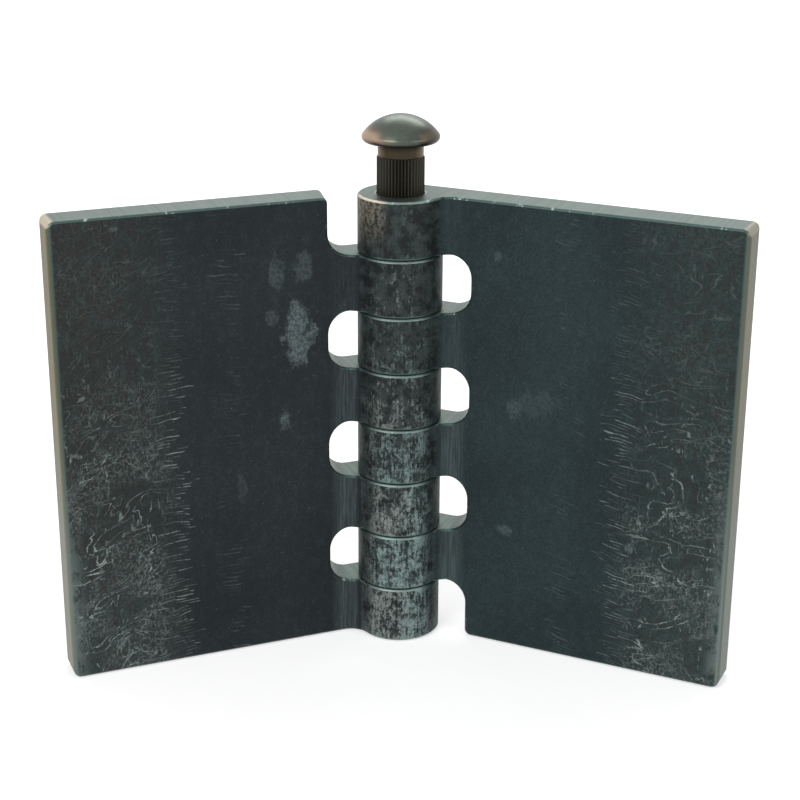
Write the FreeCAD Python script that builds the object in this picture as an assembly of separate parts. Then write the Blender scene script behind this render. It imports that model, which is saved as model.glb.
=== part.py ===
import FreeCAD, Part
import math
import os

# A blank weld-on butt hinge, standing open in a V on its lower edges, with its pin raised.
# Millimetres. The origin is on the pin's axis, in the plane of the lower edges, and +Z runs up the pin.
# Each leaf is one drawn bar. It is drawn along its own +X with its back towards +Y, and then swung
# about the pin. The hinge opens towards -Y, where the V faces.

# The hinge as a whole
knuckle_pitch = 19.05
knuckle_count = 8
leaf_width = 113.0
leaf_swing = 23.5
knuckle_gap = 0.3

# Section of the drawn bar, with closed_gap left between the two leaves when they are folded shut
leaf_thickness = 12.3
closed_gap = 3.0
root_fillet = 6.0
outer_edge_radius = 2.0

# Slots and edges of a leaf, with slot_land as the flat between the root fillet and a slot's end.
# A slot's end wall leans towards the barrel at the leaf's back.
slot_land = 4.9
slot_lean = 11.0
slot_corner_radius = 7.4
outer_corner_radius = 2.6
notch_corner_radius = 2.0
edge_chamfer = 0.6

# Pin
pin_diameter = 14.7
pin_end_recess = 0.4
pin_end_chamfer = 1.2
head_diameter = 24.9
head_height = 8.7
head_rim_radius = 1.6
neck_length = 4.3
knurl_length = 12.8
knurl_height = 0.3
knurl_depth = 0.25
knurl_teeth = 42

# Fits
bore_clearance = 0.05
bore_mouth_chamfer = 0.4
knurl_seat_gap = 0.1

# Worked out from the sizes above
hinge_height = knuckle_pitch * knuckle_count
front_offset = closed_gap / 2
barrel_radius = leaf_thickness + front_offset
fillet_x = math.sqrt((barrel_radius + root_fillet) ** 2 - (root_fillet - front_offset) ** 2)
slot_reach = fillet_x + slot_land
back_shift = leaf_thickness * math.tan(math.radians(slot_lean))
pin_radius = pin_diameter / 2
pin_length = hinge_height - pin_end_recess
bore_radius = pin_radius + bore_clearance
crest_radius = pin_radius + knurl_height
root_radius = pin_radius - knurl_depth
mouth_radius = bore_radius + bore_mouth_chamfer

# The knurl's lower chamfer stands on the chamfer of the bore's mouth, both at 45 degrees.
knurl_z = hinge_height - (mouth_radius - root_radius) + knurl_seat_gap * math.sqrt(2)
head_z = knurl_z + knurl_length + neck_length

past = 5.0
up = FreeCAD.Vector(0, 0, 1)


def point(x, y, z=0.0):
    return FreeCAD.Vector(x, y, z)


def on_circle(centre, radius, degrees):
    angle = math.radians(degrees)
    return centre + FreeCAD.Vector(radius * math.cos(angle), radius * math.sin(angle), 0)


def arc(centre, radius, start, end):
    points = [on_circle(centre, radius, a) for a in (start, (start + end) / 2, end)]
    return Part.Arc(*points).toShape()


def line(a, b):
    return Part.LineSegment(a, b).toShape()


# The bar's section: the leaf's back is tangent to the barrel, and a fillet joins its front to the barrel.
def bar_section():
    axis = point(0, 0)
    fillet_centre = point(fillet_x, front_offset - root_fillet)
    lean = math.degrees(math.atan2(fillet_centre.y, fillet_centre.x))
    edges = [
        line(point(0, barrel_radius), point(leaf_width, barrel_radius)),
        line(point(leaf_width, barrel_radius), point(leaf_width, front_offset)),
        line(point(leaf_width, front_offset), point(fillet_x, front_offset)),
        arc(fillet_centre, root_fillet, 90, 180 + lean),
        arc(axis, barrel_radius, lean, -270),
    ]
    return Part.Face(Part.Wire(edges))


def is_line(edge):
    return isinstance(edge.Curve, (Part.Line, Part.LineSegment))


def is_upright(edge):
    box = edge.BoundBox
    return is_line(edge) and max(box.XLength, box.YLength) < 1e-4


# A straight level edge that crosses the leaf from front to back, square or leaning.
def is_crossing(edge):
    box = edge.BoundBox
    return is_line(edge) and box.ZLength < 1e-4 and box.YLength > 2 * box.XLength


def cross_edges(shape, x, z):
    found = []
    for edge in shape.Edges:
        middle = edge.BoundBox.Center
        if is_crossing(edge) and abs(middle.x - x) < 1e-3 and abs(middle.z - z) < 1e-3:
            found.append(edge)
    return found


# Room for one knuckle of the other leaf. The first and the last are open at the hinge's end.
def slot(index):
    top = hinge_height - index * knuckle_pitch + knuckle_gap / 2
    bottom = hinge_height - (index + 1) * knuckle_pitch - knuckle_gap / 2
    corners = [top, bottom]
    if index == 0:
        top = hinge_height + past
        corners = [bottom]
    if index == knuckle_count - 1:
        bottom = -past
        corners = [top]
    span = 2 * barrel_radius + past
    block = Part.makeBox(span + slot_reach, 2 * span, top - bottom, point(-span, -span, bottom))
    edges = [e for z in corners for e in cross_edges(block, slot_reach, z)]
    widest = 0.49 * (knuckle_pitch + knuckle_gap)
    block = block.makeFillet(min(slot_corner_radius, widest), edges)
    block.rotate(point(slot_reach, front_offset), up, slot_lean)
    return block


# Every edge of the leaf that is sharp: not the lines where two faces run smoothly into each other.
def sharp_edges(shape):
    found = []
    for edge in shape.Edges:
        upright_seam = is_upright(edge) and edge.BoundBox.Center.x < fillet_x + 1e-3
        if not upright_seam and not is_crossing(edge):
            found.append(edge)
    return found


def rounded_corners(shape, first_slot):
    for z in (0, hinge_height):
        shape = shape.makeFillet(outer_corner_radius, cross_edges(shape, leaf_width, z))
    notch_z = hinge_height if first_slot == 0 else 0
    notch_x = slot_reach - back_shift / 2
    return shape.makeFillet(notch_corner_radius, cross_edges(shape, notch_x, notch_z))


def outer_uprights(shape):
    return [e for e in shape.Edges if is_upright(e) and abs(e.BoundBox.Center.x - leaf_width) < 1e-3]


# The bore runs through all of a leaf's knuckles, with a chamfer at both ends of the barrel.
def bore():
    drill = Part.makeCylinder(bore_radius, hinge_height + 2 * past, point(0, 0, -past))
    outer_radius = mouth_radius + past
    cone_height = outer_radius - bore_radius
    mouth = Part.makeCone(bore_radius, outer_radius, cone_height, point(0, 0, hinge_height - bore_mouth_chamfer))
    foot = Part.makeCone(outer_radius, bore_radius, cone_height, point(0, 0, bore_mouth_chamfer - cone_height))
    return drill.fuse([mouth, foot])


# A leaf keeps every second knuckle and has a slot at each of the others.
def leaf(first_slot):
    bar = bar_section().extrude(up * hinge_height)
    shape = bar
    for index in range(first_slot, knuckle_count, 2):
        shape = shape.cut(slot(index))
    shape = rounded_corners(shape, first_slot)
    shape = shape.makeChamfer(edge_chamfer, sharp_edges(shape))
    shape = shape.common(bar.makeFillet(outer_edge_radius, outer_uprights(bar)))
    return shape.cut(bore())


def right_leaf():
    shape = leaf(first_slot=1)
    shape.rotate(point(0, 0), up, -leaf_swing)
    return shape


def left_leaf():
    shape = leaf(first_slot=0).mirror(point(0, 0), FreeCAD.Vector(1, 0, 0))
    shape.rotate(point(0, 0), up, leaf_swing)
    return shape


# The head: a flat underside, a round rim, and a dome that runs smoothly into the rim.
def pin_head():
    rim_x = head_diameter / 2 - head_rim_radius
    rise = head_height - head_rim_radius
    dome_radius = (rim_x ** 2 + rise ** 2 - head_rim_radius ** 2) / (2 * (rise - head_rim_radius))
    meet = math.degrees(math.atan2(dome_radius - rise, rim_x))
    rim_centre = point(rim_x, head_rim_radius)
    dome_centre = point(0, head_height - dome_radius)
    edges = [
        line(point(0, 0), point(rim_x, 0)),
        arc(rim_centre, head_rim_radius, -90, meet),
        arc(dome_centre, dome_radius, meet, 90),
        line(point(0, head_height), point(0, 0)),
    ]
    profile = Part.Face(Part.Wire(edges))
    profile.rotate(point(0, 0), FreeCAD.Vector(1, 0, 0), 90)
    head = profile.revolve(point(0, 0), up, 360)
    head.translate(up * head_z)
    return head


# Straight V-shaped teeth, cut off at 45 degrees at both ends.
def knurl():
    step = 360 / knurl_teeth
    outline = []
    for tooth in range(knurl_teeth):
        outline.append(on_circle(point(0, 0), crest_radius, tooth * step))
        outline.append(on_circle(point(0, 0), root_radius, (tooth + 0.5) * step))
    teeth = Part.Face(Part.makePolygon(outline + outline[:1])).extrude(up * knurl_length)
    chamfer = crest_radius - root_radius
    lower = Part.makeCone(root_radius, crest_radius, chamfer)
    middle = Part.makeCylinder(crest_radius, knurl_length - 2 * chamfer, point(0, 0, chamfer))
    upper = Part.makeCone(crest_radius, root_radius, chamfer, point(0, 0, knurl_length - chamfer))
    shape = teeth.common(lower.fuse([middle, upper]))
    shape.translate(up * knurl_z)
    return shape


def pin_shank():
    foot_z = head_z - pin_length
    straight = knurl_z - foot_z - pin_end_chamfer
    tip = Part.makeCone(pin_radius - pin_end_chamfer, pin_radius, pin_end_chamfer, point(0, 0, foot_z))
    return tip.fuse(Part.makeCylinder(pin_radius, straight, point(0, 0, foot_z + pin_end_chamfer)))


def hinge_pin():
    neck = Part.makeCylinder(pin_radius, neck_length, point(0, 0, head_z - neck_length))
    return pin_shank().fuse([knurl(), neck, pin_head()]).removeSplitter()


os.makedirs("parts", exist_ok=True)
nodes = {"right_leaf": right_leaf(), "left_leaf": left_leaf(), "hinge_pin": hinge_pin()}
for name, shape in nodes.items():
    shape.Solids[0].exportStep(os.path.join("parts", name + ".step"))
    print(name, "solids", len(shape.Solids), "valid", shape.isValid(), "volume", round(shape.Volume, 1))
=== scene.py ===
import math

import bpy
from mathutils import Matrix, Vector


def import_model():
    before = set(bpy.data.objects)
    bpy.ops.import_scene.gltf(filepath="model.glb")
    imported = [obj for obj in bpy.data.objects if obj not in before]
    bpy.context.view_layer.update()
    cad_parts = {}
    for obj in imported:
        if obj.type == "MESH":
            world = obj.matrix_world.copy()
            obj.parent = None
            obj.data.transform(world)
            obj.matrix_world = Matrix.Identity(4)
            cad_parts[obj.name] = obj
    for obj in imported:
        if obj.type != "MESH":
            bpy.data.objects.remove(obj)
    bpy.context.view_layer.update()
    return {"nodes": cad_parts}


# A blank weld-on butt hinge in dark mill scale, on a pale floor under soft studio light.
# Metres in the scene. The materials work in millimetres, in each leaf's own directions:
# u from the pin's axis to the outer edge, v from the front to the back, w up the pin.

# The hinge's own sizes, as its solids have them, in millimetres and degrees
LEAF_SWING = 23.5
LEAF_WIDTH = 113.0
HINGE_HEIGHT = 152.4
KNUCKLE_PITCH = 19.05
BARREL_RADIUS = 13.8
BORE_RADIUS = 7.4
HEAD_Z = 168.94
KNURL_Z = 151.84
KNURL_LENGTH = 12.8

# Camera, in millimetres for the lens, metres and degrees
CAMERA_LENS = 80.81
CAMERA_DISTANCE = 0.59554
CAMERA_AZIMUTH = 1.318
CAMERA_DOWN = 19.988
CAMERA_ROLL = 0.3009
CAMERA_TARGET = (0.000174, 0.082115)

# Floor and lights. A light has its name, place, size and power, in metres and watts.
FLOOR_PAPER = (0.82, 0.82, 0.82, 1.0)
FLOOR_HALF = 15.0
FLOOR_DROP = 0.0003
FLOOR_GLOW = 0.47
FLOOR_FAR_GLOW = 0.30
FLOOR_FAR = (0.15, 1.4)
SKY_LIGHT = 0.40
LIGHT_TARGET = (0, 0, 0.08)
LIGHTS = [
    ("key", (-0.55, -0.75, 0.95), (0.7, 0.5), 6.0),
    ("fill", (0.80, -0.55, 0.70), (0.5, 0.5), 2.5),
    ("back", (0.10, 0.80, 0.90), (0.9, 0.4), 5.0),
]

# Where things lie on a leaf, in millimetres. With two values, there is none at the first and all at the
# second. With four values, it comes in between the first two and fades between the last two.
OUTWARD_U = (66.0, 100.0)
SCALE_LOW_W = (70.0, 10.0)
MARKS_LOW_W = (120.0, 45.0)
CRACKS_U = (76.0, 86.0)
GRIT_U = (72.0, 84.0)
TICKS_START_U = 73.0
TICKS_W = (-5.0, 12.0, 84.0, 112.0)
FAINT_TICKS_START_U = 55.0
FAINT_TICKS_END_U = (66.0, 62.0)
ROOT_LINE_U = (17.5, 19.0, 19.6, 21.5)
ROOT_LINE_W = (150.0, 60.0)
WEB_U = (24.5, 20.0)
WEB_W = (140.0, 50.0)
BARREL_WEAR_W = (140.0, 15.0)
WORN_STRIP_U = (106.5, 111.5)
WORN_STRIP_W = (85.0, 25.0)
EDGE_ROUND_W = (95.0, 25.0)
EDGE_FACE_W = (30.0, 110.0)
WARM_PATCH_AT = (-6.5, -12.0)
WARM_PATCH_SQUARED = (85.0, 12.0)
WARM_PATCH_W = (135.0, 149.0)
# The worn top outer corner, which also carries a painted highlight
WORN_CORNER = (LEAF_WIDTH + HINGE_HEIGHT - 2.7, LEAF_WIDTH + HINGE_HEIGHT - 1.7)

# How far apart the seeds of the front's and the back's marks are
BACK_SEED = 9.0

# How much of the normal points along one direction on a broken edge's slant
SLANT = (0.50, 0.62, 0.80, 0.90)

# Where things lie on the pin, in millimetres: up from the head's underside, across, and out from the axis
HEAD_WARM_UP = (6.5, 2.5)
HEAD_DUSK_UP = (7.5, 4.0)
HEAD_UNDERSIDE_UP = (1.7, 0.8)
HEAD_RIM_UP = (1.5, 2.4, 3.2, 5.0)
HEAD_RIM_X = (5.0, 8.5)
HEAD_RIM_Y = (2.0, -2.0)
HEAD_RIM_FADE_X = (16.0, -8.0)
NECK_TOP_UP = (-2.6, -0.8)
NECK_MIDDLE_X = (6.2, 2.5)
KNURL_CREST = (7.25, 7.6)

# Fine relief and the rounding of edges in the shading, in metres
SCALE_RELIEF = 0.00005
PIN_RELIEF = 0.00008
EDGE_ROUNDING = 0.0006
EDGE_SAMPLES = 4

# Colours, as 0 to 255 screen values. A pair gives the two ends of a range.
SCALE_LOW = (66, 82, 81)
SCALE_PALE = (60, 76, 75)
SCALE_BROWN = (56, 48, 42)
MARK = (158, 172, 167)
SMUDGE = (106, 120, 121)
ROOT_LINE = (104, 116, 116)
WEB = (106, 121, 122)
BARREL_DARK = ((25, 31, 32), (57, 68, 67))
BARREL_WORN = ((68, 80, 79), (121, 140, 139))
BARREL_WARM = (128, 126, 120)
WARM_PATCH = (142, 132, 116)
CUT = ((81, 95, 90), (100, 112, 105))
CUT_PIT = (66, 80, 76)
EDGE_PIT = (70, 74, 70)
# The next six colours are painted highlight, some of it on real wear: the outer edge's strip, round and top
# corner, the barrel's rims, and glints
WORN_STRIP_AND_HIGHLIGHT = (114, 127, 124)
EDGE_ROUND_HIGHLIGHT = ((86, 102, 96), (118, 132, 128))
CORNER_WEAR_AND_GLINT = (214, 202, 178)
DULL_EDGE_TO_RIM_HIGHLIGHT = ((72, 92, 89), (122, 140, 135))
RIM_WARM_GLINT = (214, 204, 186)
GLINT = (160, 180, 173)
BORE = ((110, 114, 112), (140, 143, 140))
HEAD = ((60, 74, 68), (96, 102, 92))
# The head's next four colours are painted: a warm reflection, a dark reflection, shade underneath and a
# highlight on the rim
HEAD_WARM_REFLECTION = (150, 120, 102)
HEAD_DARK_REFLECTION = (52, 42, 32)
HEAD_UNDERSIDE_SHADE = (34, 34, 31)
HEAD_RIM_HIGHLIGHT = (200, 180, 156)
NECK = ((62, 52, 38), (104, 88, 64))
# Painted shade across the neck's middle, and painted shadow of the head at its top
NECK_MIDDLE_SHADE = (40, 39, 33)
NECK_TOP_SHADOW = (30, 27, 22)
KNURL = ((15, 14, 11), (66, 63, 48))
SHANK = ((120, 120, 116), (158, 158, 152))

# What differs between the leaves. side turns u outwards, seed moves the noises, slope and pitch shape
# the cracks, and a smudge has its centre, its half sizes and its amount.
LEFT_LOOK = {
    "name": "left_leaf_scale",
    "side": -1.0,
    "seed": 3.0,
    "inner": ((27, 36, 40), (36, 46, 49)),
    "outer": (45, 50, 48),
    "edge": ((118, 119, 106), (104, 97, 67)),
    "edge_round_highlight": 0.75,
    "corner": 0.85,
    "slope": 0.42,
    "pitch": 6.0,
    "smudges": [
        ((34.0, 108.0), (5.6, 12.0), 0.85),
        ((39.5, 79.5), (2.5, 3.8), 0.65),
        ((41.5, 130.0), (3.0, 6.0), 0.35),
        ((33.0, 131.0), (3.5, 5.0), 0.35),
        ((43.0, 115.5), (2.0, 3.0), 0.30),
        ((55.0, 58.0), (2.0, 5.0), 0.20),
    ],
}
RIGHT_LOOK = {
    "name": "right_leaf_scale",
    "side": 1.0,
    "seed": 83.0,
    "inner": ((31, 46, 49), (40, 58, 60)),
    "outer": (43, 57, 56),
    "edge": ((97, 105, 96), (96, 95, 76)),
    "edge_round_highlight": 0.9,
    "corner": 0.35,
    "slope": -0.10,
    "pitch": 9.0,
    "smudges": [
        ((40.5, 85.0), (3.0, 3.5), 0.30),
        ((38.0, 42.0), (3.0, 2.0), 0.45),
        ((33.0, 135.0), (1.5, 2.0), 0.35),
        ((48.0, 88.0), (8.0, 5.0), 0.18),
        ((81.0, 44.0), (1.8, 2.2), 0.60),
    ],
}

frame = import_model()


class Field:
    """A number or a vector that varies over a surface, kept as the socket that gives it."""

    def __init__(self, tree, socket):
        self.tree = tree
        self.socket = socket

    def __add__(self, other):
        return math_node(self.tree, "ADD", self, other)

    def __sub__(self, other):
        return math_node(self.tree, "SUBTRACT", self, other)

    def __mul__(self, other):
        return math_node(self.tree, "MULTIPLY", self, other)

    def __truediv__(self, other):
        return math_node(self.tree, "DIVIDE", self, other)

    def __radd__(self, other):
        return self + other

    def __rmul__(self, other):
        return self * other

    def __rsub__(self, other):
        return math_node(self.tree, "SUBTRACT", other, self)

    def __abs__(self):
        return math_node(self.tree, "ABSOLUTE", self)


def put(tree, socket, value):
    if isinstance(value, Field):
        tree.links.new(value.socket, socket)
    else:
        socket.default_value = value


def math_node(tree, operation, a, b=0.0, clamp=False):
    node = tree.nodes.new("ShaderNodeMath")
    node.operation = operation
    node.use_clamp = clamp
    put(tree, node.inputs[0], a)
    put(tree, node.inputs[1], b)
    return Field(tree, node.outputs[0])


def most(a, b):
    return math_node(a.tree, "MAXIMUM", a, b)


def clamp(a):
    return math_node(a.tree, "ADD", a, 0.0, clamp=True)


def fraction(a):
    return math_node(a.tree, "FRACT", a)


def length(x, y):
    return math_node(x.tree, "SQRT", x * x + y * y)


# 0 below low, 1 above high, and smooth between. It falls instead where low is the larger.
def smooth(value, low, high):
    node = value.tree.nodes.new("ShaderNodeMapRange")
    node.interpolation_type = "SMOOTHSTEP"
    node.inputs["From Min"].default_value = min(low, high)
    node.inputs["From Max"].default_value = max(low, high)
    node.inputs["To Min"].default_value = 0.0 if low < high else 1.0
    node.inputs["To Max"].default_value = 1.0 if low < high else 0.0
    put(value.tree, node.inputs["Value"], value)
    return Field(value.tree, node.outputs["Result"])


# 1 between the two inner values, 0 outside the two outer ones
def band(value, start, full, fade, end):
    return smooth(value, start, full) * smooth(value, end, fade)


def join(x, y, z):
    node = x.tree.nodes.new("ShaderNodeCombineXYZ")
    for socket, value in zip(node.inputs, (x, y, z)):
        put(x.tree, socket, value)
    return Field(x.tree, node.outputs[0])


def split(vector):
    node = vector.tree.nodes.new("ShaderNodeSeparateXYZ")
    put(vector.tree, node.inputs[0], vector)
    return [Field(vector.tree, s) for s in node.outputs]


def noise(vector, scale=1.0, detail=2.0, roughness=0.5, flat=False):
    node = vector.tree.nodes.new("ShaderNodeTexNoise")
    node.noise_dimensions = "2D" if flat else "3D"
    put(vector.tree, node.inputs["Vector"], vector)
    node.inputs["Scale"].default_value = scale
    node.inputs["Detail"].default_value = detail
    node.inputs["Roughness"].default_value = roughness
    return Field(vector.tree, node.outputs["Fac"])


def flat_noise(x, y, detail=2.0, roughness=0.5):
    return noise(join(x, y, 0.0), detail=detail, roughness=roughness, flat=True)


def cell_edges(x, y):
    node = x.tree.nodes.new("ShaderNodeTexVoronoi")
    node.feature = "DISTANCE_TO_EDGE"
    node.voronoi_dimensions = "2D"
    put(x.tree, node.inputs["Vector"], join(x, y, 0.0))
    node.inputs["Scale"].default_value = 1.0
    return Field(x.tree, node.outputs["Distance"])


# Thin lines where a noise crosses a level. A second noise makes them thicker and thinner.
def contour(value, width, level, uneven):
    return smooth(abs(value - level) - (uneven - 0.5) * width * 1.6, width, 0.0)


def mix(amount, a, b):
    node = amount.tree.nodes.new("ShaderNodeMix")
    node.data_type = "RGBA"
    node.clamp_factor = True
    put(amount.tree, node.inputs["Factor"], amount)
    for name, colour in (("A", a), ("B", b)):
        socket = next(s for s in node.inputs if s.name == name and s.type == "RGBA")
        put(amount.tree, socket, colour if isinstance(colour, Field) else rgba(colour))
    return Field(amount.tree, next(s for s in node.outputs if s.type == "RGBA"))


# A screen value from 0 to 255 as the linear value that a shader takes
def linear(value):
    value = value / 255
    return value / 12.92 if value <= 0.04045 else ((value + 0.055) / 1.055) ** 2.4


def rgba(colour):
    return [linear(c) for c in colour] + [1.0]


def brighten(colour, gain):
    node = colour.tree.nodes.new("ShaderNodeVectorMath")
    node.operation = "SCALE"
    put(colour.tree, node.inputs[0], colour)
    put(colour.tree, node.inputs["Scale"], gain)
    return Field(colour.tree, node.outputs[0])


def bump(height, distance, strength, normal=None):
    node = height.tree.nodes.new("ShaderNodeBump")
    node.inputs["Strength"].default_value = strength
    node.inputs["Distance"].default_value = distance
    put(height.tree, node.inputs["Height"], height)
    if normal is not None:
        put(height.tree, node.inputs["Normal"], normal)
    return Field(height.tree, node.outputs[0])


def soft_edges(tree, radius):
    node = tree.nodes.new("ShaderNodeBevel")
    node.samples = EDGE_SAMPLES
    node.inputs["Radius"].default_value = radius
    return Field(tree, node.outputs[0])


def new_material(name):
    material = bpy.data.materials.new(name)
    material.use_nodes = True
    shader = material.node_tree.nodes["Principled BSDF"]
    return material, material.node_tree, shader


# The object's own points in millimetres, or its normals, turned and scaled
def local(tree, name, kind, size, turn=0.0, side=1.0):
    source = tree.nodes.new("ShaderNodeTexCoord")
    node = tree.nodes.new("ShaderNodeMapping")
    node.vector_type = kind
    node.inputs["Rotation"].default_value = (0, 0, math.radians(turn))
    node.inputs["Scale"].default_value = (side * size, size, size)
    tree.links.new(source.outputs[name], node.inputs["Vector"])
    return Field(tree, node.outputs[0])


class Leaf:
    """One leaf's places, normals and shared noises: nu, nv and nw are the normal's parts along u, v and w."""

    def __init__(self, tree, look):
        self.side = look["side"]
        self.seed = look["seed"]
        place = local(tree, "Object", "POINT", 1000.0, LEAF_SWING, self.side)
        self.u, self.v, self.w = split(place)
        self.nu, self.nv, self.nw = split(local(tree, "Normal", "VECTOR", 1.0, LEAF_SWING, self.side))
        self.radius = length(self.u, self.v)

        behind = smooth(self.nv, 0.0, 0.3)
        self.front = 1.0 - behind
        self.flat = smooth(abs(self.nv), 0.80, 0.97)
        self.face_seed = behind * BACK_SEED + self.seed

        self.fine = noise(place, scale=1.5, detail=3.0, roughness=0.65)
        self.grain = self.spread(1.0, 0.75, self.seed, detail=3.0, roughness=0.72)
        self.mottle = self.spread(0.34, 0.24, self.face_seed, detail=3.0, roughness=0.72)
        self.torn = self.spread(0.24, 0.17, self.seed, detail=4.0, roughness=0.72)
        self.ragged = self.around(0.80, 0.0, scale=0.85, detail=5.0, roughness=0.78)
        self.streaks = self.around(0.10, self.seed, scale=1.3, detail=3.0, roughness=0.6)

        # How far the barrel's surface is turned to the open front or back, away from the other leaf. Wear
        # gathers there, and the same mask also paints reflection: the barrel's sides are painted darker, as
        # if mirroring the dark leaves, and its rims brighter at the front.
        swing = math.radians(LEAF_SWING)
        turned = abs(self.u * math.sin(swing) - self.v * math.cos(swing)) / self.radius
        self.facing_wear_and_reflection = smooth(turned, 0.55, 0.88)

        # A warm worn patch under the top rim, at the front left, with a painted warm glint on the rim above
        # it
        off_u = self.u - WARM_PATCH_AT[0]
        off_v = self.v - WARM_PATCH_AT[1]
        near = smooth(off_u * off_u + off_v * off_v, *WARM_PATCH_SQUARED)
        self.warm_patch_and_glint = near * smooth(self.w, *WARM_PATCH_W)

    # Noise over the face, with so many waves to the millimetre along u and up w
    def spread(self, per_u, per_w, offset, detail=2.0, roughness=0.5):
        return flat_noise(self.u * per_u + offset, self.w * per_w, detail, roughness)

    # Noise around the barrel, drawn out up the pin
    def around(self, per_w, offset, scale, detail, roughness=0.5):
        return noise(join(self.u, self.v, self.w * per_w + offset), scale, detail, roughness)


# Thin strokes, one at each whole number of across. Each has its own start, length and strength along u.
def strokes(across, u, start, seed):
    line = math_node(u.tree, "FLOOR", across)
    near = abs(across - line - 0.5)
    own_start = flat_noise(line * 7.31 + seed, line * 3.17, detail=0.0)
    own_length = fraction(own_start * 37.0)
    own_strength = fraction(own_start * 91.0)
    begin = u - start - (own_start - 0.5) * 12.0
    reach = begin - 1.0 - own_length * 9.0
    stroke = smooth(near, 0.20, 0.04) * smooth(begin, 0.0, 0.7) * smooth(reach, 1.5, -1.5)
    return stroke * (0.10 + 0.90 * own_strength)


# Pale marks in the scale: two rows of ticks, wandering cracks, a fine net, grit and a few nicks
def scale_marks(leaf, slope, pitch):
    u, w, seed = leaf.u, leaf.w, leaf.face_seed
    low = smooth(w, *MARKS_LOW_W)
    sway = leaf.spread(0.030, 0.045, seed)
    strong = leaf.spread(0.050, 0.050, seed + 5.0)
    breaks = leaf.spread(0.16, 0.34, seed + 7.0)
    fray = leaf.spread(0.9, 0.9, seed + 13.0, detail=3.0, roughness=0.7)
    bold = leaf.spread(0.11, 0.13, seed + 29.0)
    rough = smooth(fray, 0.30, 0.54)
    inner = u + (sway - 0.5) * 5.0

    # Ticks
    wobble = strong * 4.0 + breaks * 0.9 + u * (0.14 - 0.3 * slope)
    ticks = strokes(w * 0.92 + wobble, inner, TICKS_START_U, seed)
    ticks = ticks * (0.20 + 0.72 * band(w, *TICKS_W))
    faint = strokes(w * 0.70 + wobble, inner, FAINT_TICKS_START_U, seed + 30.0)
    faint = faint * smooth(u, *FAINT_TICKS_END_U) * smooth(strong, 0.46, 0.62) * 0.28
    ticks = (ticks + faint) * smooth(fray, 0.30, 0.52) * (0.35 + 0.65 * smooth(breaks, 0.36, 0.56))

    # Cracks, upright lines and the net, with jagged courses
    drift = w + u * slope + (sway - 0.5) * 16.0
    jag_u = (u + (fray - 0.5) * 1.5) * (1.0 / pitch)
    jag_w = (drift + (0.5 - fray) * 1.2) * (1.0 / pitch)
    crack_noise = flat_noise(jag_u * 0.30 + (seed + 11.0), jag_w * 0.90, roughness=0.36)
    cracks = most(contour(crack_noise, 0.009, 0.45, breaks), contour(crack_noise, 0.009, 0.56, breaks))
    cracks = cracks * (0.30 + 0.70 * smooth(breaks, 0.40, 0.54)) * smooth(fray, 0.24, 0.42)
    upright_noise = flat_noise(u * 0.22 + fray * 0.2 + (seed + 17.0), w * 0.060, roughness=0.6)
    uprights = contour(upright_noise, 0.020, 0.5, fray) * smooth(breaks, 0.54, 0.42) * rough * 0.75
    net = cell_edges(jag_u * 0.90 + breaks * 1.1, jag_w * 1.7 + breaks + seed)
    net = smooth(net, 0.06, 0.0) * smooth(strong, 0.46, 0.58) * rough * 0.60
    lines = most(cracks, most(uprights, net)) * smooth(inner, *CRACKS_U) * (0.18 + 0.82 * low)
    lines = lines * (0.40 + 0.60 * smooth(bold, 0.42, 0.58))

    grit = smooth(leaf.grain, 0.50, 0.66) * smooth(strong, 0.44, 0.58) * smooth(inner, *GRIT_U)
    grit = grit * (0.05 + 0.24 * low)
    nicks = smooth(leaf.grain, 0.72, 0.78) * 0.45
    return clamp(most(most(ticks, lines), most(grit, nicks)))


# Dark scale, bluer near the barrel and browner towards the outer edge
def scale_colour(leaf, look):
    out = smooth(leaf.u, *OUTWARD_U)
    broad = leaf.spread(0.030, 0.022, leaf.face_seed + 41.0, detail=3.0)
    colour = mix(smooth(broad, 0.30, 0.70), *look["inner"])
    colour = mix(out * 0.8, colour, look["outer"])
    colour = mix(out * smooth(leaf.w, *SCALE_LOW_W) * 0.45, colour, SCALE_LOW)
    colour = mix(smooth(leaf.mottle, 0.46, 0.70) * (0.14 + 0.16 * out), colour, SCALE_PALE)
    colour = mix(smooth(leaf.mottle, 0.54, 0.34) * out * 0.35, colour, SCALE_BROWN)
    return brighten(colour, 0.40 + 0.56 * smooth(leaf.fine, 0.30, 0.70) + 0.32 * leaf.mottle)


# One blotch of pale rub with a ragged, stippled outline
def smudge(leaf, centre, size, amount):
    dx = (leaf.u - centre[0]) * (1.0 / size[0])
    dy = (leaf.w - centre[1]) * (1.0 / size[1])
    inside = smooth(dx * dx + dy * dy + (leaf.torn - 0.5) * 4.2, 1.2, 0.2)
    return inside * (0.35 + 0.65 * smooth(leaf.grain, 0.40, 0.60)) * amount


def smudged(leaf, smudges):
    rub = smudge(leaf, *smudges[0])
    for one in smudges[1:]:
        rub = most(rub, smudge(leaf, *one))
    return rub * leaf.flat * leaf.front


# The line where the root fillet starts, and the fillet beside it, are a little lighter, more so lower down.
def lighter_root_and_web(leaf, colour):
    drawn = leaf.spread(1.6, 0.07, leaf.seed, detail=3.0, roughness=0.7)
    line = band(leaf.u, *ROOT_LINE_U) * smooth(drawn, 0.35, 0.65) * smooth(leaf.w, *ROOT_LINE_W)
    colour = mix(line * 0.22, colour, ROOT_LINE)
    web = smooth(leaf.u, *WEB_U) * smooth(leaf.radius, BARREL_RADIUS + 0.7, BARREL_RADIUS + 2.2)
    web = web * (0.14 + 0.30 * smooth(drawn, 0.35, 0.75)) * (0.15 + 0.85 * smooth(leaf.w, *WEB_W))
    return mix(web, colour, WEB)
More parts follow.
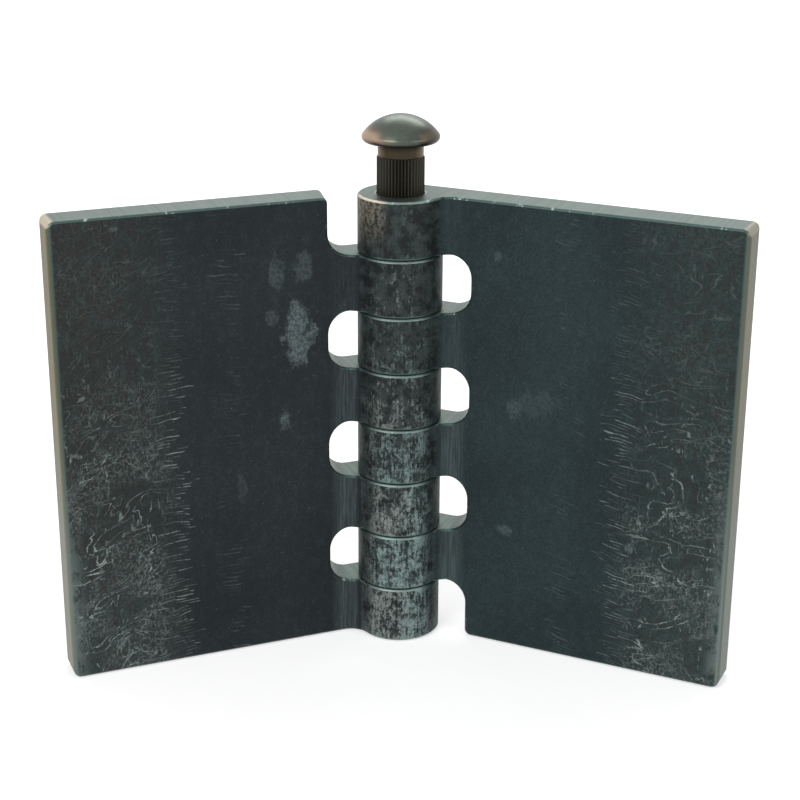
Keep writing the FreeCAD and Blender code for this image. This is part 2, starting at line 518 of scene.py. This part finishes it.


# Barrel: worn bright in ragged patches, more so lower down, and painted dimmer at the sides as a painted
# reflection of the dark leaves
def barrel_layer(leaf):
    down = smooth(leaf.w, *BARREL_WEAR_W)
    clusters = leaf.around(0.8, leaf.seed, scale=0.22, detail=2.0)
    knuckle_foot = smooth(fraction(leaf.w * (1.0 / KNUCKLE_PITCH)), 0.10, 0.0)
    wear = leaf.ragged * 0.64 + leaf.streaks * 0.28 + clusters * 0.38 + down * 0.10 + knuckle_foot * 0.06
    wear = smooth(wear, 0.675, 0.81) * (0.20 + 0.80 * leaf.facing_wear_and_reflection)

    dark = brighten(mix(smooth(leaf.mottle, 0.36, 0.66), *BARREL_DARK), 0.55 + 0.6 * leaf.fine)
    worn = mix(smooth(leaf.u * leaf.side, 3.0, -9.0) * 0.5, mix(down, *BARREL_WORN), BARREL_WARM)
    worn = brighten(worn, 0.25 + 0.7 * leaf.streaks + 0.8 * smooth(leaf.fine, 0.3, 0.7))
    colour = mix(wear, dark, worn)
    colour = mix(leaf.warm_patch_and_glint * smooth(leaf.ragged, 0.40, 0.60) * 0.8, colour, WARM_PATCH)

    where = smooth(leaf.radius, BARREL_RADIUS + 0.8, BARREL_RADIUS + 0.15) * smooth(abs(leaf.nw), 0.75, 0.5)
    where = where * smooth(leaf.radius, BORE_RADIUS + 1.1, BORE_RADIUS + 2.6)
    return where, colour, wear


# Cut faces: the ends of the bar and the walls of the slots
def cut_layer(leaf):
    saw = noise(join(leaf.u * 0.12, leaf.v * 0.8, leaf.w * 0.5 + leaf.seed), detail=2.0, roughness=0.6)
    colour = mix(saw, *CUT)
    pits = smooth(leaf.grain * 0.5 + leaf.fine * 0.5, 0.54, 0.44)
    colour = mix(pits * 0.6, colour, CUT_PIT)
    colour = brighten(colour, 1.06 - 0.14 * smooth(leaf.radius, BARREL_RADIUS + 1.2, BARREL_RADIUS - 1.3))

    end = smooth(abs(leaf.nw), 0.85, 0.97)
    wall = smooth(abs(leaf.nv), 0.45, 0.28) * smooth(leaf.radius, BARREL_RADIUS + 0.4, BARREL_RADIUS + 1.2)
    wall = wall * smooth(leaf.u, LEAF_WIDTH - 1.2, LEAF_WIDTH - 1.8)
    return clamp(end + wall), colour


# Outer edge: a worn strip low on the face that is partly a painted highlight of the rounding, a painted
# highlight along the round, a warm face with dark pits, and a worn top corner with a painted highlight
def outer_edge(leaf, look, colour):
    strip = smooth(leaf.u, *WORN_STRIP_U) * smooth(leaf.w, *WORN_STRIP_W) * leaf.flat
    strip = strip * smooth(leaf.torn, 0.34, 0.54)
    colour = mix(strip * 0.65, colour, WORN_STRIP_AND_HIGHLIGHT)
    rounded = smooth(leaf.nu, 0.15, 0.60) * smooth(leaf.u, LEAF_WIDTH - 3.0, LEAF_WIDTH - 1.8)
    colour = mix(rounded * look["edge_round_highlight"], colour, mix(smooth(leaf.w, *EDGE_ROUND_W), *EDGE_ROUND_HIGHLIGHT))
    face = smooth(leaf.nu, 0.62, 0.92) * smooth(leaf.u, LEAF_WIDTH - 4.0, LEAF_WIDTH - 1.5)
    face_colour = mix(smooth(leaf.w, *EDGE_FACE_W), *look["edge"])
    pits = smooth(leaf.ragged, 0.56, 0.68)
    colour = mix(face, colour, mix(pits * 0.55, face_colour, EDGE_PIT))
    return mix(smooth(leaf.u + leaf.w, *WORN_CORNER) * look["corner"], colour, CORNER_WEAR_AND_GLINT), rounded


# Broken edges: rubbed to a duller grey, with a few painted glints. The barrel's rims get a painted highlight
# that fades to the sides, and a painted warm glint at the front left.
def broken_layer(leaf):
    level = smooth(abs(leaf.nw), 0.25, 0.5)
    inward = smooth(leaf.nu, -0.2, -0.4)
    corner = smooth(leaf.radius, BARREL_RADIUS + 0.2, BARREL_RADIUS + 1.2) * band(abs(leaf.nv), *SLANT)
    corner = corner * clamp(level + inward)
    ring = smooth(leaf.radius, BARREL_RADIUS + 0.8, BARREL_RADIUS + 0.15) * band(abs(leaf.nw), *SLANT)
    colour = mix(leaf.warm_patch_and_glint, mix(ring * leaf.facing_wear_and_reflection, *DULL_EDGE_TO_RIM_HIGHLIGHT), RIM_WARM_GLINT)
    colour = mix(smooth(leaf.mottle, 0.60, 0.74), colour, GLINT)
    return clamp(corner + ring), colour


def leaf_material(look):
    material, tree, shader = new_material(look["name"])
    leaf = Leaf(tree, look)
    marks = scale_marks(leaf, look["slope"], look["pitch"]) * leaf.flat
    colour = mix(marks * 0.90, scale_colour(leaf, look), MARK)
    colour = mix(smudged(leaf, look["smudges"]), colour, SMUDGE)
    colour = lighter_root_and_web(leaf, colour)
    barrel, barrel_colour, wear = barrel_layer(leaf)
    colour = mix(barrel, colour, barrel_colour)
    cut, cut_colour = cut_layer(leaf)
    colour = mix(cut, colour, cut_colour)
    colour, rounded = outer_edge(leaf, look, colour)
    broken, broken_colour = broken_layer(leaf)
    colour = mix(broken, colour, broken_colour)
    bore = smooth(leaf.radius, BORE_RADIUS + 1.2, BORE_RADIUS + 0.6)
    colour = mix(bore, colour, mix(leaf.streaks, *BORE))

    metal = clamp(barrel * wear * 0.8 + cut * 0.75 + broken * 0.85 + rounded * 0.5 + bore)
    put(tree, shader.inputs["Base Color"], colour)
    put(tree, shader.inputs["Metallic"], metal)
    put(tree, shader.inputs["Roughness"], 0.50 + (leaf.fine - 0.5) * 0.25 - metal * 0.10 - marks * 0.05)
    shader.inputs["Specular IOR Level"].default_value = 0.2
    put(tree, shader.inputs["Normal"], bump(leaf.fine, SCALE_RELIEF, 0.6, soft_edges(tree, EDGE_ROUNDING)))
    return material


# Domed head: green grey, with a painted warm reflection at the left, a painted dark reflection at the right,
# painted shade underneath and a painted highlight on the rim
def head_colour(x, y, z, fine, broad, tint):
    up = z - HEAD_Z
    colour = mix(broad, *HEAD)
    warm_reflection = smooth((tint - 0.5) * 14.0 - x, 2.0, 9.0) * smooth(up, *HEAD_WARM_UP)
    colour = mix(warm_reflection * 0.85, colour, HEAD_WARM_REFLECTION)
    dark_reflection = smooth((tint - 0.5) * 14.0 + x, 2.0, 8.0) * smooth(up, *HEAD_DUSK_UP)
    colour = mix(dark_reflection * 0.8, colour, HEAD_DARK_REFLECTION)
    colour = mix(smooth(up, *HEAD_UNDERSIDE_UP) * 0.8, colour, HEAD_UNDERSIDE_SHADE)
    colour = brighten(colour, 0.75 + 0.5 * fine)
    rim_highlight = band(up, *HEAD_RIM_UP) * smooth(abs(x), *HEAD_RIM_X) * smooth(y, *HEAD_RIM_Y)
    return mix(rim_highlight * smooth(x, *HEAD_RIM_FADE_X) * 0.5, colour, HEAD_RIM_HIGHLIGHT)


# Neck: brown, with painted shade across its middle and a painted shadow of the head at its top
def neck_colour(x, z, fine):
    colour = mix(fine, *NECK)
    colour = mix(smooth(abs(x), *NECK_MIDDLE_X) * 0.7, colour, NECK_MIDDLE_SHADE)
    return mix(smooth(z - HEAD_Z, *NECK_TOP_UP) * 0.8, colour, NECK_TOP_SHADOW)


def pin_material():
    material, tree, shader = new_material("pin_oxide")
    place = local(tree, "Object", "POINT", 1000.0)
    x, y, z = split(place)
    radius = length(x, y)
    fine = noise(place, scale=1.6, detail=4.0, roughness=0.6)
    broad = noise(place, scale=0.16, detail=3.0)
    tint = noise(join(x + 20.0, y, z), scale=0.13, detail=2.0)
    rings = noise(join(z * 3.0, radius * 0.2, 0.0), detail=3.0)

    neck = band(z, KNURL_Z + KNURL_LENGTH - 1.2, KNURL_Z + KNURL_LENGTH + 0.1, HEAD_Z, HEAD_Z + 0.4)
    knurl = band(z, KNURL_Z - 0.5, KNURL_Z, KNURL_Z + KNURL_LENGTH - 0.6, KNURL_Z + KNURL_LENGTH + 0.4)
    head = smooth(z, HEAD_Z - 0.6, HEAD_Z + 0.2)
    crest = smooth(radius, *KNURL_CREST)
    colour = mix(neck, mix(rings, *SHANK), neck_colour(x, z, fine))
    colour = mix(knurl, colour, mix(crest * (0.3 + 0.7 * fine), *KNURL))
    colour = mix(head, colour, head_colour(x, y, z, fine, broad, tint))

    height = fine * 0.4 + rings * (1.0 - head) * (1.0 - knurl) * 0.4
    put(tree, shader.inputs["Base Color"], colour)
    put(tree, shader.inputs["Metallic"], clamp(0.85 - knurl * 0.35))
    put(tree, shader.inputs["Roughness"], 0.34 + (fine - 0.5) * 0.2 + knurl * 0.12)
    put(tree, shader.inputs["Normal"], bump(height, PIN_RELIEF, 0.5))
    return material


def assign(node, material):
    data = frame["nodes"][node].data
    data.materials.clear()
    data.materials.append(material)


# 1 for what the camera sees, straight or in a reflection, and 0 for light that falls on the hinge
def seen_rays(tree):
    path = tree.nodes.new("ShaderNodeLightPath")
    kinds = ("Is Camera Ray", "Is Glossy Ray", "Is Transmission Ray")
    rays = [Field(tree, path.outputs[kind]) for kind in kinds]
    return clamp(rays[0] + rays[1] + rays[2])


def add_object(name, data):
    item = bpy.data.objects.new(name, data)
    bpy.context.scene.collection.objects.link(item)
    return item


# Paper that glows a little more further off, where the lights don't reach
def floor():
    material, tree, shader = new_material("floor_paper")
    shader.inputs["Base Color"].default_value = FLOOR_PAPER
    shader.inputs["Roughness"].default_value = 0.9
    shader.inputs["Specular IOR Level"].default_value = 0.1
    shader.inputs["Emission Color"].default_value = (1.0, 1.0, 1.0, 1.0)
    x, y, _ = split(Field(tree, tree.nodes.new("ShaderNodeTexCoord").outputs["Object"]))
    far = smooth(length(x, y), *FLOOR_FAR)
    put(tree, shader.inputs["Emission Strength"], seen_rays(tree) * (FLOOR_GLOW + far * FLOOR_FAR_GLOW))

    mesh = bpy.data.meshes.new("floor")
    half = FLOOR_HALF
    corners = [(-half, -half, 0), (half, -half, 0), (half, half, 0), (-half, half, 0)]
    mesh.from_pydata(corners, [], [(0, 1, 2, 3)])
    mesh.materials.append(material)
    item = add_object("floor", mesh)
    item.location.z = -FLOOR_DROP


def world():
    studio = bpy.data.worlds.new("studio")
    studio.use_nodes = True
    bpy.context.scene.world = studio
    tree = studio.node_tree
    back = tree.nodes["Background"]
    back.inputs["Color"].default_value = (1.0, 1.0, 1.0, 1.0)
    put(tree, back.inputs["Strength"], SKY_LIGHT + seen_rays(tree) * (1.0 - SKY_LIGHT))


def area_light(name, place, size, power):
    data = bpy.data.lights.new(name, "AREA")
    data.shape = "RECTANGLE"
    data.size, data.size_y = size
    data.energy = power
    item = add_object(name, data)
    item.location = place
    direction = Vector(LIGHT_TARGET) - Vector(place)
    item.rotation_euler = direction.to_track_quat("-Z", "Y").to_euler()


def camera():
    azimuth, down, roll = (math.radians(a) for a in (CAMERA_AZIMUTH, CAMERA_DOWN, CAMERA_ROLL))
    level = Vector((math.cos(azimuth), math.sin(azimuth), 0))
    ahead = Vector((-math.sin(azimuth), math.cos(azimuth), 0))
    forward = ahead * math.cos(down) - Vector((0, 0, math.sin(down)))
    upward = level.cross(forward)
    right = math.cos(roll) * level + math.sin(roll) * upward
    top = math.cos(roll) * upward - math.sin(roll) * level
    target = level * CAMERA_TARGET[0] + Vector((0, 0, CAMERA_TARGET[1]))
    place = target - CAMERA_DISTANCE * forward

    data = bpy.data.cameras.new("camera")
    data.sensor_width = 36.0
    data.lens = CAMERA_LENS
    data.clip_start = 0.01
    item = add_object("camera", data)
    item.matrix_world = Matrix.Translation(place) @ Matrix((right, top, -forward)).transposed().to_4x4()
    bpy.context.scene.camera = item


assign("left_leaf", leaf_material(LEFT_LOOK))
assign("right_leaf", leaf_material(RIGHT_LOOK))
assign("hinge_pin", pin_material())

floor()
world()
for light in LIGHTS:
    area_light(*light)
camera()
bpy.context.scene.view_settings.view_transform = "Standard"
